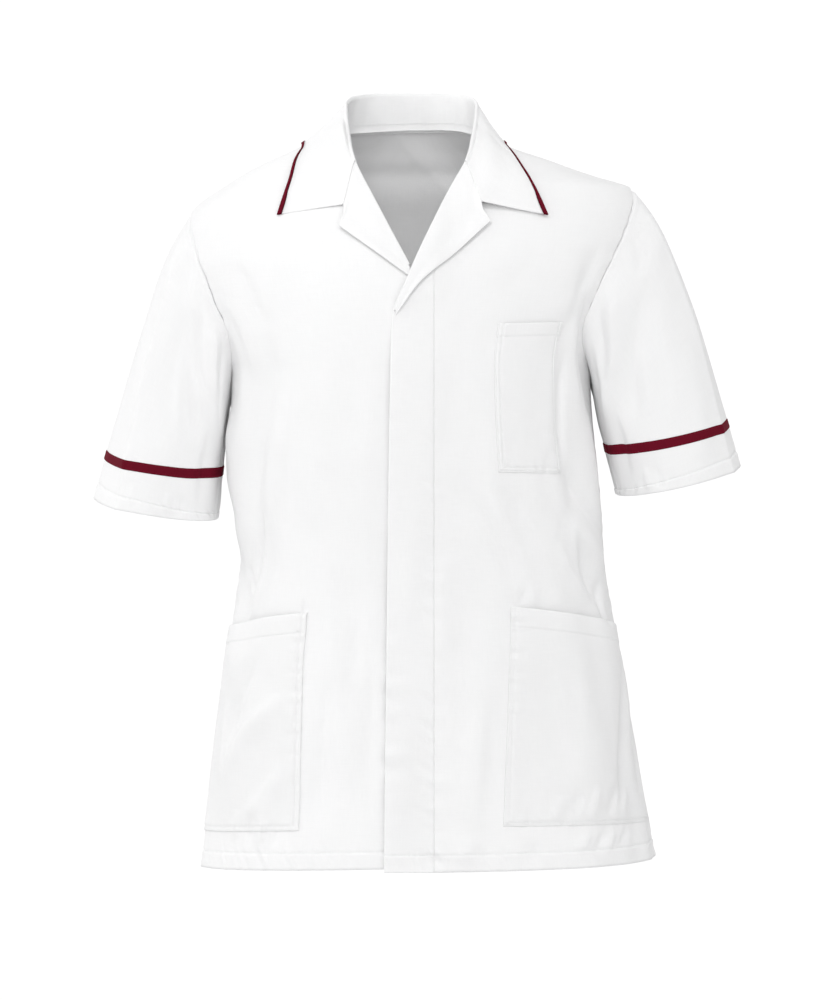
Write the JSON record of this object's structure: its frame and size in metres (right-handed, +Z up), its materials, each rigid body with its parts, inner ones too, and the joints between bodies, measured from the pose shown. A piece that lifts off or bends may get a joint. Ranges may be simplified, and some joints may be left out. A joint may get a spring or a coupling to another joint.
{
  "type": "short-sleeved work tunic",
  "caption": "Short-sleeved work tunic in its worn, hollow form, with notched collar and lapels, covered front fastening, patch pockets and contrast tape on collar and sleeves.",
  "frame": {"origin": "middle of the neck opening, level with the points where the shoulder seams meet the collar, where the wearer's shoulders hold the garment up", "axes": "+X to the wearer's left, +Y to the wearer's back, +Z up"},
  "size_m": [0.641, 0.2794, 0.7822],
  "materials": {
    "cloth_white": "white polyester and cotton twill, pressed, matt with a slight sheen",
    "tape_maroon": "maroon woven polyester and cotton tape, matt"
  },
  "bodies": {
    "root": {"back": "cloth_white", "front_right": "cloth_white", "front_left": "cloth_white", "placket": "cloth_white", "lapel_right": "cloth_white", "lapel_left": "cloth_white", "collar": "cloth_white", "collar_trim": "tape_maroon", "sleeve_right": "cloth_white", "sleeve_left": "cloth_white", "sleeve_trim_right": "tape_maroon", "sleeve_trim_left": "tape_maroon", "chest_pocket": "cloth_white", "hip_pocket_right": "cloth_white", "hip_pocket_left": "cloth_white"}
  },
  "joints": []
}
